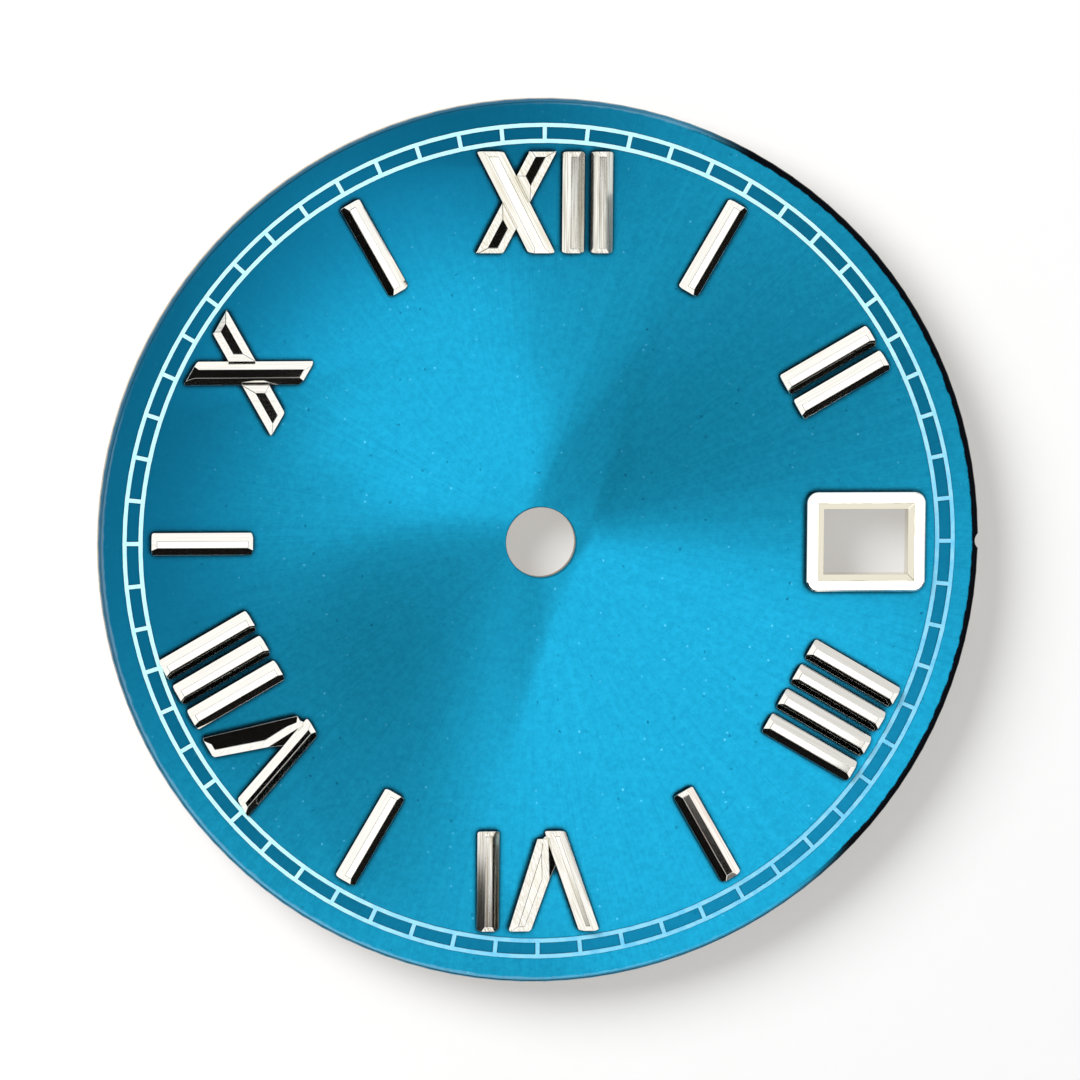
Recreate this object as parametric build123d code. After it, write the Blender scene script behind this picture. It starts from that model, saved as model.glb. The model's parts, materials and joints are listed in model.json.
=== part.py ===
from build123d import *
import os
from math import atan2, cos, degrees, hypot, radians, sin

os.makedirs("parts", exist_ok=True)

# A watch dial with applied Roman numerals, batons and a date window frame.
# Lengths are in millimetres and angles in degrees.
# The dial's axis is Z and its back lies on Z = 0, so the feet reach below it.
# Twelve o'clock is +Y and three o'clock is +X.

full_turn = 360
hours_on_dial = 12
minutes_on_dial = 60

# Dial plate
plate_diameter = 28.5
plate_thickness = 0.4
rim_rounding = 0.14
centre_hole_diameter = 2.25
notch_width = 0.5
notch_depth = 0.13

# Minute track, two printed rings with a tick for each minute between them
track_rim_distance = 0.85
track_spacing = 0.51
ring_line_width = 0.13
tick_width = 0.13
ink_thickness = 0.02

# Applied bars: a low upright wall, two long bevels, short end bevels and a narrow flat top.
# The half strokes of an X and the pointed leg of a V have a higher wall and shallower bevels
index_track_distance = 0.33
index_length = 3.26
bar_width = 0.72
index_wall = 0.12
shallow_wall = 0.22
index_height = 0.34
side_bevel = 0.25
end_bevel = 0.17
corner_cut = 0.06

# Spaces between the strokes of one numeral
bar_gap = 0.2
gap_beside_x = 0.2
gap_beside_v = 0.29

# X of numeral ten and of numeral twelve
x_stroke_width = 0.88
ten_x_width = 2.78
twelve_x_width = 2.58

# V of numerals six and eight, whose right leg is a pointed blade
v_width = 2.98
v_leg_width = 0.68
# Where the left leg lands and the outline of the right leg,
# across as shares of the V's width and up as shares of the index length
v_landing_share = 0.385
v_blade_shares = [(0.57, 0.08), (0.69, 0.08), (1, 1), (0.755, 1), (0.555, 0.485)]
# How far up the left leg the web between the legs reaches, as a share of the leg
v_web_share = 0.34

# Pegs under the applied pieces, closed over a countersink at the back. They are eight-sided
peg_sides = 8
peg_diameter = 0.36
peg_tail_diameter = 0.54
peg_tail_depth = 0.1
peg_hole_clearance = 0.02
peg_end_distance = 0.72
peg_root = 0.06
v_peg_share = 0.66

# Date window frame at three o'clock, with a collar that drops through the plate
frame_track_distance = 0.44
frame_length = 3.86
frame_width = 3.22
frame_corner_radius = 0.36
frame_height = 0.35
frame_edge_chamfer = 0.06
frame_band = 0.35
frame_bevel = 0.21
frame_bevel_depth = 0.24
collar_wall = 0.12
collar_clearance = 0.02

# Dial feet, whose flanges are set into seats in the back
foot_diameter = 0.7
foot_length = 1.5
foot_tip_chamfer = 0.1
foot_flange_diameter = 1.4
foot_flange_thickness = 0.12
foot_seat_clearance = 0.02
foot_rim_distance = 1.85
upper_foot_clock_angle = 45
lower_foot_clock_angle = 225

# Overrun of every cut past the face that it opens
overrun = 0.2

# Places that follow from the sizes above, counted inwards from the rim
face_height = plate_thickness
plate_radius = plate_diameter / 2
outer_ring_radius = plate_radius - track_rim_distance
inner_ring_radius = outer_ring_radius - track_spacing
index_outer_radius = inner_ring_radius - index_track_distance
index_inner_radius = index_outer_radius - index_length
frame_distance = inner_ring_radius - frame_track_distance - frame_length / 2
foot_distance = plate_radius - foot_rim_distance
frame_opening_length = frame_length - 2 * (frame_band + frame_bevel)
frame_opening_width = frame_width - 2 * (frame_band + frame_bevel)


# Small helpers

def hour_turn(hour):
    """Turn from twelve o'clock to the hour, clockwise seen from the face."""
    return Rot(0, 0, -full_turn * hour / hours_on_dial)


def clock_place(distance, clock_angle):
    """Point at a distance from the dial's axis, at an angle clockwise from twelve."""
    return (distance * sin(radians(clock_angle)), distance * cos(radians(clock_angle)))


def between(start, end, share):
    """Point part of the way from start to end."""
    return tuple(a + share * (b - a) for a, b in zip(start, end))


def crossing(line_a, line_b):
    """Point where two lines of the dial's plane cross."""
    (ax, ay), (bx, by) = line_a
    (cx, cy), (dx, dy) = line_b
    turn = (bx - ax) * (dy - cy) - (by - ay) * (dx - cx)
    share = ((cx - ax) * (dy - cy) - (cy - ay) * (dx - cx)) / turn
    return between(line_a[0], line_a[1], share)


def cylinder_between(diameter, low, high):
    """Upright cylinder on the Z axis between two heights."""
    return Pos(0, 0, low) * extrude(Circle(diameter / 2), amount=high - low)


# Faceted strokes

def facet_plane(start, end, bevel, wall):
    """Plane of the facet that rises inward from one edge of a stroke's outline."""
    run = hypot(end[0] - start[0], end[1] - start[1])
    along = ((end[0] - start[0]) / run, (end[1] - start[1]) / run)
    rise = index_height - wall
    outward = (along[1] * rise, -along[0] * rise, bevel)
    return Plane((*start, face_height + wall), x_dir=(*along, 0), z_dir=outward)


def free_corners(body):
    """Upright edges of a stroke at the numeral's inner and outer end."""
    ends = (index_inner_radius, index_outer_radius)
    upright = body.edges().filter_by(Axis.Z)
    return [edge for edge in upright if any(abs(edge.center().Y - end) < corner_cut for end in ends)]


def faceted_stroke(outline, bevels, wall):
    """Stroke with an upright wall, one facet above each edge and cut corners at its free ends.

    The outline runs anticlockwise, and bevels holds the facet's width over each edge."""
    stroke = Pos(0, 0, face_height) * extrude(Polygon(*outline, align=None), amount=index_height)
    stroke = chamfer(free_corners(stroke), length=corner_cut)
    for start, end, bevel in zip(outline, outline[1:] + outline[:1], bevels):
        stroke = split(stroke, bisect_by=facet_plane(start, end, bevel, wall), keep=Keep.BOTTOM)
    return stroke


def stroke_web(outline):
    """Low flat web with a stroke's outline, as high as the upright wall."""
    return Pos(0, 0, face_height) * extrude(Polygon(*outline, align=None), amount=index_wall)


def slanted_outline(left_at_foot, left_at_head, width):
    """Outline of a stroke whose ends lie across the numeral, from its left corners."""
    foot, head = index_inner_radius, index_outer_radius
    return [
        (left_at_foot, foot),
        (left_at_foot + width, foot),
        (left_at_head + width, head),
        (left_at_head, head),
    ]


# Pegs

def peg_stage(diameter, low, high, taper=0):
    """Upright stage of a peg between two heights, which may taper from its foot."""
    return Pos(0, 0, low) * extrude(RegularPolygon(diameter / 2, peg_sides), amount=high - low, taper=taper)


def peg_form(growth, foot, head):
    """Shank and tapered tail of a peg, all of it grown outwards, between its foot and its head."""
    tail_drop = (peg_tail_diameter - peg_diameter) / 2 * cos(radians(full_turn / 2 / peg_sides))
    taper = degrees(atan2(tail_drop, peg_tail_depth))
    shank = peg_stage(peg_diameter + 2 * growth, foot, head)
    return shank + peg_stage(peg_tail_diameter + 2 * growth, 0, peg_tail_depth, taper)


def peg():
    """Peg from the root inside its index to the tail closed flush with the back."""
    return peg_form(0, 0, face_height + peg_root)


def peg_hole():
    """Hole for a peg, with its countersink at the back."""
    return peg_form(peg_hole_clearance, -overrun, face_height + overrun)


# Applied pieces at twelve o'clock: each returns its strokes and the places of its pegs

def bar_at(middle):
    """Straight bar whose long axis lies a distance to the right of the hour line."""
    left = middle - bar_width / 2
    outline = slanted_outline(left, left, bar_width)
    body = faceted_stroke(outline, [end_bevel, side_bevel, end_bevel, side_bevel], index_wall)
    places = [
        (middle, index_inner_radius + peg_end_distance),
        (middle, index_outer_radius - peg_end_distance),
    ]
    return body, places


def x_at(middle, width):
    """X with one whole stroke and two half strokes that meet it in a valley."""
    left = middle - width / 2
    right = middle + width / 2
    whole = slanted_outline(right - x_stroke_width, left, x_stroke_width)
    other = slanted_outline(left, right - x_stroke_width, x_stroke_width)
    whole_right, whole_left = (whole[1], whole[2]), (whole[0], whole[3])
    other_right, other_left = (other[1], other[2]), (other[0], other[3])
    upper = [crossing(whole_right, other_right), other[2], other[3], crossing(whole_right, other_left)]
    lower = [other[0], other[1], crossing(whole_left, other_right), crossing(whole_left, other_left)]
    body = (
        faceted_stroke(whole, [end_bevel, side_bevel, end_bevel, side_bevel], index_wall)
        + stroke_web(other)
        + faceted_stroke(upper, [side_bevel, end_bevel, side_bevel, side_bevel], shallow_wall)
        + faceted_stroke(lower, [end_bevel, side_bevel, side_bevel, side_bevel], shallow_wall)
    )
    foot = between(whole[0], whole[1], 1 / 2)
    head = between(whole[3], whole[2], 1 / 2)
    end_share = peg_end_distance / index_length
    return body, [between(foot, head, end_share), between(head, foot, end_share)]


def v_at(middle):
    """V with a slanted left leg, a pointed right leg and a low web where they meet at the foot."""
    left = middle - v_width / 2
    leg = slanted_outline(left + v_landing_share * v_width, left, v_leg_width)
    blade = [
        (left + across * v_width, index_inner_radius + up * index_length)
        for across, up in v_blade_shares
    ]
    leg_foot = between(leg[0], leg[1], 1 / 2)
    leg_head = between(leg[3], leg[2], 1 / 2)
    blade_foot = between(blade[0], blade[1], 1 / 2)
    blade_head = between(blade[2], blade[3], 1 / 2)
    web = [leg_foot, blade_foot, blade[-1], between(leg[1], leg[2], v_web_share)]
    body = (
        faceted_stroke(leg, [end_bevel, side_bevel, end_bevel, side_bevel], index_wall)
        + faceted_stroke(blade, [end_bevel, side_bevel, end_bevel, side_bevel, side_bevel], shallow_wall)
        + stroke_web(web)
    )
    return body, [
        between(leg_foot, leg_head, v_peg_share),
        between(blade_foot, blade_head, v_peg_share),
    ]


# Numerals: where each stroke stands across the hour line

def bars_from(left_end, count):
    """Middles of a run of bars that starts at its left end."""
    return [left_end + bar_width / 2 + n * (bar_width + bar_gap) for n in range(count)]


def run_width(count):
    """Width of a run of bars."""
    return count * bar_width + (count - 1) * bar_gap


def bars_numeral(hour, count):
    """Numeral made of bars alone."""
    middles = bars_from(-run_width(count) / 2, count)
    return {f"numeral_{hour}_bar_{n}": (hour, bar_at(m)) for n, m in enumerate(middles, 1)}


def lettered_numeral(hour, letter, letter_name, letter_width, gap, count):
    """Numeral that starts with an X or a V and goes on with bars."""
    whole_width = letter_width + (gap + run_width(count) if count else 0)
    left = -whole_width / 2
    pieces = {f"numeral_{hour}_{letter_name}": (hour, letter(left + letter_width / 2))}
    for n, m in enumerate(bars_from(left + letter_width + gap, count), 1):
        pieces[f"numeral_{hour}_bar_{n}"] = (hour, bar_at(m))
    return pieces


def applied_pieces():
    """Every numeral stroke and baton, with its hour, its body and its pegs' places."""
    pieces = {f"baton_{hour}": (hour, bar_at(0)) for hour in (1, 5, 7, 9, 11)}
    pieces |= bars_numeral(2, 2) | bars_numeral(4, 4)
    pieces |= lettered_numeral(6, v_at, "v", v_width, gap_beside_v, 1)
    pieces |= lettered_numeral(8, v_at, "v", v_width, gap_beside_v, 3)
    pieces |= lettered_numeral(10, lambda m: x_at(m, ten_x_width), "x", ten_x_width, gap_beside_x, 0)
    pieces |= lettered_numeral(
        12, lambda m: x_at(m, twelve_x_width), "x", twelve_x_width, gap_beside_x, 2
    )
    return pieces


def pegged(hour, body, places):
    """Applied piece with its pegs, turned to its hour."""
    for place in places:
        body += Pos(*place, 0) * peg()
    return hour_turn(hour) * body


# Date window frame

def frame_place():
    """Middle of the date window on the three o'clock line."""
    return Pos(frame_distance, 0, 0)


def date_window_frame():
    """Frame with a flat band, a bevel down into the window and a collar through the plate."""
    top = face_height + frame_height
    outer = RectangleRounded(frame_length, frame_width, frame_corner_radius)
    body = Pos(0, 0, face_height) * extrude(outer, amount=frame_height)
    body = chamfer(body.edges().group_by(Axis.Z)[-1], length=frame_edge_chamfer)
    collar = Rectangle(frame_opening_length + 2 * collar_wall, frame_opening_width + 2 * collar_wall)
    body += extrude(collar, amount=face_height)
    window = Rectangle(frame_opening_length, frame_opening_width)
    mouth = Rectangle(frame_opening_length + 2 * frame_bevel, frame_opening_width + 2 * frame_bevel)
    body -= Pos(0, 0, -overrun) * extrude(window, amount=top + 2 * overrun)
    body -= loft([Pos(0, 0, top - frame_bevel_depth) * window, Pos(0, 0, top) * mouth], ruled=True)
    return frame_place() * body


def date_aperture():
    """Cut through the plate that takes the frame's collar."""
    grown = 2 * (collar_wall + collar_clearance)
    hole = Rectangle(frame_opening_length + grown, frame_opening_width + grown)
    return frame_place() * Pos(0, 0, -overrun) * extrude(hole, amount=face_height + 2 * overrun)


# Dial feet

def foot_place(clock_angle):
    """Place of a foot on the back."""
    return Pos(*clock_place(foot_distance, clock_angle), 0)


def dial_foot(clock_angle):
    """Foot with a flange in the back of the plate and a stem with a chamfered tip."""
    flange = cylinder_between(foot_flange_diameter, 0, foot_flange_thickness)
    stem = cylinder_between(foot_diameter, -foot_length, foot_flange_thickness)
    foot = flange + stem
    tip = foot.edges().group_by(Axis.Z)[0]
    return foot_place(clock_angle) * chamfer(tip, length=foot_tip_chamfer)


def foot_seat(clock_angle):
    """Round seat for a foot's flange."""
    seat_diameter = foot_flange_diameter + 2 * foot_seat_clearance
    return foot_place(clock_angle) * cylinder_between(seat_diameter, -overrun, foot_flange_thickness)


# Dial plate and its print

def rim_notch():
    """Small round notch in the rim at three o'clock."""
    half_width = notch_width / 2
    radius = (half_width**2 + notch_depth**2) / (2 * notch_depth)
    middle = plate_radius - notch_depth + radius
    return Pos(middle, 0, 0) * cylinder_between(2 * radius, -overrun, face_height + overrun)


def blank():
    """Round blank with its centre hole, whose rim rounds over at the face."""
    disc = cylinder_between(plate_diameter, 0, face_height)
    disc = fillet(disc.edges().group_by(Axis.Z)[-1], radius=rim_rounding)
    return disc - cylinder_between(centre_hole_diameter, -overrun, face_height + overrun)


def dial_plate(pieces):
    """Blank with every hole, seat and notch that its pieces need."""
    cuts = [date_aperture(), rim_notch()]
    cuts += [foot_seat(angle) for angle in (upper_foot_clock_angle, lower_foot_clock_angle)]
    for hour, (_, places) in pieces.values():
        cuts += [hour_turn(hour) * Pos(*place, 0) * peg_hole() for place in places]
    return blank() - cuts


def ring_line(radius):
    """Printed circle."""
    return Circle(radius + ring_line_width / 2) - Circle(radius - ring_line_width / 2)


def minute_track_print():
    """Both rings and all ticks as one thin layer of ink on the face."""
    tick_length = outer_ring_radius - inner_ring_radius
    middle = (inner_ring_radius + outer_ring_radius) / 2
    ticks = PolarLocations(middle, minutes_on_dial) * Rectangle(tick_length, tick_width)
    track = ring_line(inner_ring_radius) + ring_line(outer_ring_radius) + ticks
    return Pos(0, 0, face_height) * extrude(track, amount=ink_thickness)


def build_nodes():
    """Every node of the dial by name."""
    pieces = applied_pieces()
    nodes = {name: pegged(hour, *made) for name, (hour, made) in pieces.items()}
    nodes["dial_plate"] = dial_plate(pieces)
    nodes["minute_track_print"] = minute_track_print()
    nodes["date_window_frame"] = date_window_frame()
    nodes["dial_foot_upper"] = dial_foot(upper_foot_clock_angle)
    nodes["dial_foot_lower"] = dial_foot(lower_foot_clock_angle)
    return nodes


for name, solid in build_nodes().items():
    export_step(solid, f"parts/{name}.step")
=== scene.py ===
"""Looks of a watch dial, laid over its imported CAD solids.

The dial lies face up on white paper under a light with a narrow waist.
One dark screen stands to the south of it, and another hangs above the lights.
Sizes in this file are in millimetres, and become metres where Blender takes them.
Directions on the dial are clock angles in degrees: twelve o'clock is 0 and three o'clock is 90.
"""

import json
import logging
import math
from dataclasses import dataclass, field
from enum import Enum
from typing import Any, Callable

import bmesh
import bpy
from mathutils import Matrix, Vector

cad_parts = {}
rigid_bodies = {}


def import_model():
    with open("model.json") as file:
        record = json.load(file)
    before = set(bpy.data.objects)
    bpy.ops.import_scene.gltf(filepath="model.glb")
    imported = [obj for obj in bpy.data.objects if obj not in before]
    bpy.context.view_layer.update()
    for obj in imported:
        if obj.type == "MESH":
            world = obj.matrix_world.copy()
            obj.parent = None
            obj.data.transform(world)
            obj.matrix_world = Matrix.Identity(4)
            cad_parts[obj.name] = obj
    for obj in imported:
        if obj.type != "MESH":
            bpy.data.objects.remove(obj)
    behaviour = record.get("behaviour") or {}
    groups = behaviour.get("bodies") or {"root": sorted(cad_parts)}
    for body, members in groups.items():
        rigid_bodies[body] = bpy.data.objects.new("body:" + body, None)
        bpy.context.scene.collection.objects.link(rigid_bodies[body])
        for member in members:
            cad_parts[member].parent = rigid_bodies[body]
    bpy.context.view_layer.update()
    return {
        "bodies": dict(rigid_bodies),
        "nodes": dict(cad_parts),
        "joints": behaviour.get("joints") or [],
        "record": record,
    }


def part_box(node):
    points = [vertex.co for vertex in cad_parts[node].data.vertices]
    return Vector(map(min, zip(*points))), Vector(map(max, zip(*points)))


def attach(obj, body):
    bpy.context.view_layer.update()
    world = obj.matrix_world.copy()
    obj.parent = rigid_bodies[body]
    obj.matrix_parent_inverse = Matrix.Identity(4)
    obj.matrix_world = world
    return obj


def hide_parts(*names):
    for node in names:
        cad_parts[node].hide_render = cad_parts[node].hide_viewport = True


MM = 0.001
HOUR_ANGLE = 30.0
WHITE = (1.0, 1.0, 1.0, 1.0)
LOG = logging.getLogger("dial")

Socket = bpy.types.NodeSocket
Colour = tuple[float, float, float]


class Slot(Enum):
    """Material slots of the record; each dressed piece keeps one, which nothing here uses."""

    LACQUER = "blue_lacquer"
    STEEL = "polished_steel"


def clock_vector(clock_angle: float) -> Vector:
    """Unit vector in the dial's plane that points at a clock angle in degrees."""
    turn = math.radians(clock_angle)
    return Vector((math.sin(turn), math.cos(turn), 0.0))


@dataclass(frozen=True)
class WindowOpening:
    """Rectangle of the date window's opening, in the dial's plane."""

    centre_x: float = 10.52
    half_x: float = 1.37
    half_y: float = 1.05


def select_only(piece: bpy.types.Object) -> None:
    """Deselects everything, then selects one object and makes it active.

    Args:
        piece: The object to work on.
    """
    bpy.ops.object.select_all(action="DESELECT")
    piece.hide_viewport = False
    piece.select_set(True)
    bpy.context.view_layer.objects.active = piece


def put_in_scene(name: str, data: Any, place: Matrix) -> bpy.types.Object:
    """Makes an object of a mesh, light or camera and links it to the scene.

    Args:
        name: Its name.
        data: What it holds.
        place: Its place and turn.

    Returns:
        The object.
    """
    holder = bpy.data.objects.new(name, data)
    bpy.context.scene.collection.objects.link(holder)
    holder.matrix_world = place
    return holder


def add_primitive(name: str, add: Callable[..., Any], **settings: Any) -> bpy.types.Object:
    """Adds a primitive at its place, which is then applied to its mesh.

    Args:
        name: Name of the new object.
        add: Blender's operator for the primitive.
        settings: The operator's settings.

    Returns:
        The object.
    """
    bpy.ops.object.select_all(action="DESELECT")
    add(**settings)
    piece = bpy.context.active_object
    piece.name = name
    bpy.ops.object.transform_apply(location=True, rotation=True, scale=True)
    return piece


class NodeBoard:
    """A node tree with short calls that lay and link its nodes."""

    def __init__(self, tree: bpy.types.NodeTree) -> None:
        """Starts on the empty tree of a material or world."""
        self.tree = tree
        tree.nodes.clear()

    def add(self, kind: str, inputs: dict[Any, Any] | None = None, **settings: Any) -> bpy.types.Node:
        """Lays one node.

        Args:
            kind: Blender's name for the node type.
            inputs: Values or sockets by input name or number.
            settings: Attributes of the node itself.

        Returns:
            The node.
        """
        node = self.tree.nodes.new(kind)
        for name, value in settings.items():
            setattr(node, name, value)
        for name, value in (inputs or {}).items():
            if isinstance(value, Socket):
                self.tree.links.new(value, node.inputs[name])
            else:
                node.inputs[name].default_value = value
        return node

    def maths(self, operation: str, *terms: Any, clamp: bool = False) -> Socket:
        """Result of a Math node on one to three terms, which are numbers or sockets."""
        inputs = dict(enumerate(terms))
        return self.add("ShaderNodeMath", inputs, operation=operation, use_clamp=clamp).outputs[0]

    def blend(self, share: float, first: Socket, second: Socket) -> Socket:
        """Weighted mean of two numbers, in which the second one has this share."""
        rest = self.maths("MULTIPLY", first, 1 - share)
        return self.maths("ADD", rest, self.maths("MULTIPLY", second, share))

    def vector(self, operation: str, *terms: Any) -> Socket:
        """Vector that a Vector Math node gives."""
        return self.add("ShaderNodeVectorMath", dict(enumerate(terms)), operation=operation).outputs[0]

    def measure(self, operation: str, *terms: Any) -> Socket:
        """Number that a Vector Math node gives, such as a length or a dot product."""
        return self.add("ShaderNodeVectorMath", dict(enumerate(terms)), operation=operation).outputs["Value"]

    def spread(
        self, value: Any, low: float, high: float, out_low: float = 0.0, out_high: float = 1.0
    ) -> Socket:
        """Value mapped smoothly from one range to another.

        Args:
            value: The number to map.
            low: Start of the range that it comes from.
            high: End of that range.
            out_low: Result at low.
            out_high: Result at high.

        Returns:
            The value's socket.
        """
        inputs = {0: value, 1: low, 2: high, 3: out_low, 4: out_high}
        node = self.add("ShaderNodeMapRange", inputs, interpolation_type="SMOOTHSTEP")
        return node.outputs[0]

    def mix_colours(self, share: Any, first: Any, second: Any) -> Socket:
        """Colour between two colours, tuples of three or sockets, with this share of the second one."""
        ends = [(*colour, 1.0) if isinstance(colour, tuple) else colour for colour in (first, second)]
        return self.add("ShaderNodeMix", {0: share, 6: ends[0], 7: ends[1]}, data_type="RGBA").outputs[2]

    def millimetres(self, turn: float = 0.0, stretch: tuple[float, float, float] = (1, 1, 1)) -> Socket:
        """Object coordinates in millimetres.

        Args:
            turn: Degrees that the pattern turns clockwise round the dial's axis.
            stretch: Factors on the turned X, Y and Z.

        Returns:
            The vector's socket.
        """
        place = self.add("ShaderNodeTexCoord").outputs["Object"]
        inputs = {"Vector": place, "Rotation": (0, 0, math.radians(turn))}
        turned = self.add("ShaderNodeMapping", inputs, vector_type="POINT")
        scale = tuple(factor / MM for factor in stretch)
        return self.vector("MULTIPLY", turned.outputs[0], scale)

    def noise(self, vector: Socket, scale: float, detail: float = 2.0, roughness: float = 0.5) -> Socket:
        """Noise about 0.5 on average, with this many features per unit of the vector."""
        inputs = {"Vector": vector, "Scale": scale, "Detail": detail, "Roughness": roughness}
        return self.add("ShaderNodeTexNoise", inputs).outputs["Fac"]

    def bump(self, height: Socket, strength: float, distance: float) -> Socket:
        """Normal of a relief from 0 to 1 whose depth is given in millimetres."""
        inputs = {"Height": height, "Strength": strength, "Distance": distance * MM}
        return self.add("ShaderNodeBump", inputs).outputs[0]

    def metal(self, colour: Socket, roughness: Any, more: dict[str, Any]) -> Socket:
        """Surface of a metal, with more inputs of the shader by name."""
        inputs = {"Base Color": colour, "Metallic": 1.0, "Roughness": roughness, **more}
        return self.add("ShaderNodeBsdfPrincipled", inputs).outputs[0]

    def output(self, shader: Socket, kind: str = "ShaderNodeOutputMaterial") -> None:
        """Links the finished shader to the output node of this kind."""
        self.add(kind, {"Surface": shader})


def new_material(name: str) -> tuple[bpy.types.Material, NodeBoard]:
    """Makes an empty node material.

    Args:
        name: Its name.

    Returns:
        The material and its board.
    """
    material = bpy.data.materials.new(name)
    material.use_nodes = True
    return material, NodeBoard(material.node_tree)


@dataclass(frozen=True)
class SunburstLacquer:
    """Blue lacquer on a face brushed outwards from near the centre, with bare brass below it."""

    blue: Colour = (0.010, 0.285, 0.467)
    deep_blue: Colour = (0.007, 0.222, 0.38)
    darker_blue: Colour = (0.003, 0.11, 0.21)
    painted_shade_black: Colour = (0.003, 0.004, 0.006)
    dust: Colour = (0.003, 0.08, 0.16)
    sparkle: Colour = (0.09, 0.50, 0.74)
    brass: Colour = (0.56, 0.46, 0.27)
    tarnish: Colour = (0.34, 0.25, 0.15)
    lacquer_edge: float = 0.27
    across_brushing: float = 0.38
    coat_roughness: float = 0.12
    burst_offset: float = 0.5
    burst_clock: float = 318.0
    fine_lines: float = 260.0
    broad_lines: float = 45.0
    broad_share: float = 0.4
    mottle_share: float = 0.55
    line_drift: float = 0.05
    mottles_per_millimetre: float = 6.0
    dust_cells: tuple[float, float] = (1.1, 0.62)
    sparkle_cells: tuple[float, float] = (1.45, 0.68)
    rim_radius: float = 14.07
    rim_shadow_radius: float = 14.02
    track: tuple[float, float] = (12.89, 13.40)
    track_depth: float = 0.7
    contact_shade_reach: float = 0.22
    rim_shadow_clock: float = 82.0
    rim_shade_clock: float = 308.0
    rim_shade_radii: tuple[float, float] = (7.0, 13.2)

    def face(self, board: NodeBoard) -> Socket:
        """Brushed and lacquered face, whose glints run across the brushing lines.

        Args:
            board: The material's board.

        Returns:
            The shader's socket.
        """
        place = board.millimetres()
        flat = board.vector("MULTIPLY", place, (1, 1, 0))
        start = tuple(clock_vector(self.burst_clock) * self.burst_offset)
        outward = board.vector("NORMALIZE", board.vector("SUBTRACT", flat, start))
        drift = board.vector("MULTIPLY", place, (self.line_drift,) * 3)
        fine = self.lines(board, outward, drift, self.fine_lines)
        broad = self.lines(board, outward, drift, self.broad_lines)
        lines = board.blend(self.broad_share, fine, broad)
        mottle = board.noise(place, self.mottles_per_millimetre, 3, 0.7)
        tone = board.blend(self.mottle_share, lines, mottle)
        colour = board.mix_colours(board.spread(tone, 0.35, 0.65), self.deep_blue, self.blue)
        rim = self.rim(board, flat, self.rim_radius)
        rim_shadow_start = self.rim(board, flat, self.rim_shadow_radius)
        rim_shadow = board.maths("MULTIPLY", rim_shadow_start, self.painted_rim_shadow(board, outward))
        layers = [
            (self.specks(board, place, *self.dust_cells), self.dust),
            (self.specks(board, place, *self.sparkle_cells), self.sparkle),
            # painted shade: the lacquer darker towards the north-west side of the rim
            (self.painted_rim_shade(board, flat, outward), self.darker_blue),
            (self.track_band(board, flat), self.darker_blue),
            # painted shadow: the rim's rounding black on its east side
            (rim_shadow, self.painted_shade_black),
            # painted shade from ambient occlusion round the foot of each applied mark
            (self.painted_contact_shade(board), self.painted_shade_black),
        ]
        for share, layer in layers:
            colour = board.mix_colours(share, colour, layer)
        more = {
            "Anisotropic": 1.0,
            "Tangent": board.vector("CROSS_PRODUCT", outward, (0, 0, -1)),
            "Coat Weight": board.maths("SUBTRACT", rim, rim_shadow, clamp=True),
            "Coat Roughness": self.coat_roughness,
            "Normal": board.bump(lines, 0.08, 0.002),
        }
        return board.metal(colour, self.across_brushing, more)

    def painted_rim_shade(self, board: NodeBoard, flat: Socket, outward: Socket) -> Socket:
        """Share of painted shade, which darkens the lacquer towards the north-west side of the rim.

        Args:
            board: The material's board.
            flat: Coordinates in millimetres without height.
            outward: Unit vector away from the centre.

        Returns:
            The value's socket.
        """
        facing = board.measure("DOT_PRODUCT", outward, tuple(clock_vector(self.rim_shade_clock)))
        near_rim = board.spread(board.measure("LENGTH", flat), *self.rim_shade_radii)
        return board.maths("MULTIPLY", near_rim, board.spread(facing, 0.05, 0.75, 0.0, 0.85))

    def track_band(self, board: NodeBoard, flat: Socket) -> Socket:
        """Share of a darker band between the two rings of the minute track.

        Args:
            board: The material's board.
            flat: Coordinates in millimetres without height.

        Returns:
            The value's socket.
        """
        inner, outer = self.track
        beyond = board.maths("SUBTRACT", board.measure("LENGTH", flat), (inner + outer) / 2)
        from_middle = board.maths("ABSOLUTE", beyond)
        half = (outer - inner) / 2
        return board.spread(from_middle, half - 0.05, half + 0.05, self.track_depth, 0.0)

    def rim(self, board: NodeBoard, flat: Socket, start: float) -> Socket:
        """1 on the rounding of the rim, where the lacquer gathers, and 0 on the face.

        Args:
            board: The material's board.
            flat: Coordinates in millimetres without height.
            start: Radius at which the rim begins, in millimetres.

        Returns:
            The value's socket.
        """
        uneven = board.spread(board.noise(flat, 2.5, 3, 0.6), 0.3, 0.7, -0.02, 0.02)
        ragged = board.maths("ADD", board.measure("LENGTH", flat), uneven)
        return board.spread(ragged, start - 0.02, start + 0.03)

    def painted_rim_shadow(self, board: NodeBoard, outward: Socket) -> Socket:
        """1 on the east side of the rim, where a shadow is painted black, and 0 elsewhere."""
        facing = board.measure("DOT_PRODUCT", outward, tuple(clock_vector(self.rim_shadow_clock)))
        return board.spread(facing, 0.45, 0.62)

    def painted_contact_shade(self, board: NodeBoard) -> Socket:
        """Share of painted shade round each applied mark, darkest where the lacquer meets it, taken from
        ambient occlusion.
        """
        nearness = board.add("ShaderNodeAmbientOcclusion", {"Distance": self.contact_shade_reach * MM}, samples=6)
        return board.spread(nearness.outputs["AO"], 0.62, 0.90, 0.97, 0.0)

    def lines(self, board: NodeBoard, outward: Socket, drift: Socket, count: float) -> Socket:
        """Noise drawn out along the brushing lines, this fine and with a slow drift."""
        spot = board.vector("ADD", board.vector("MULTIPLY", outward, (count,) * 3), drift)
        return board.noise(spot, 1.0, 2, 0.6)

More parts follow.
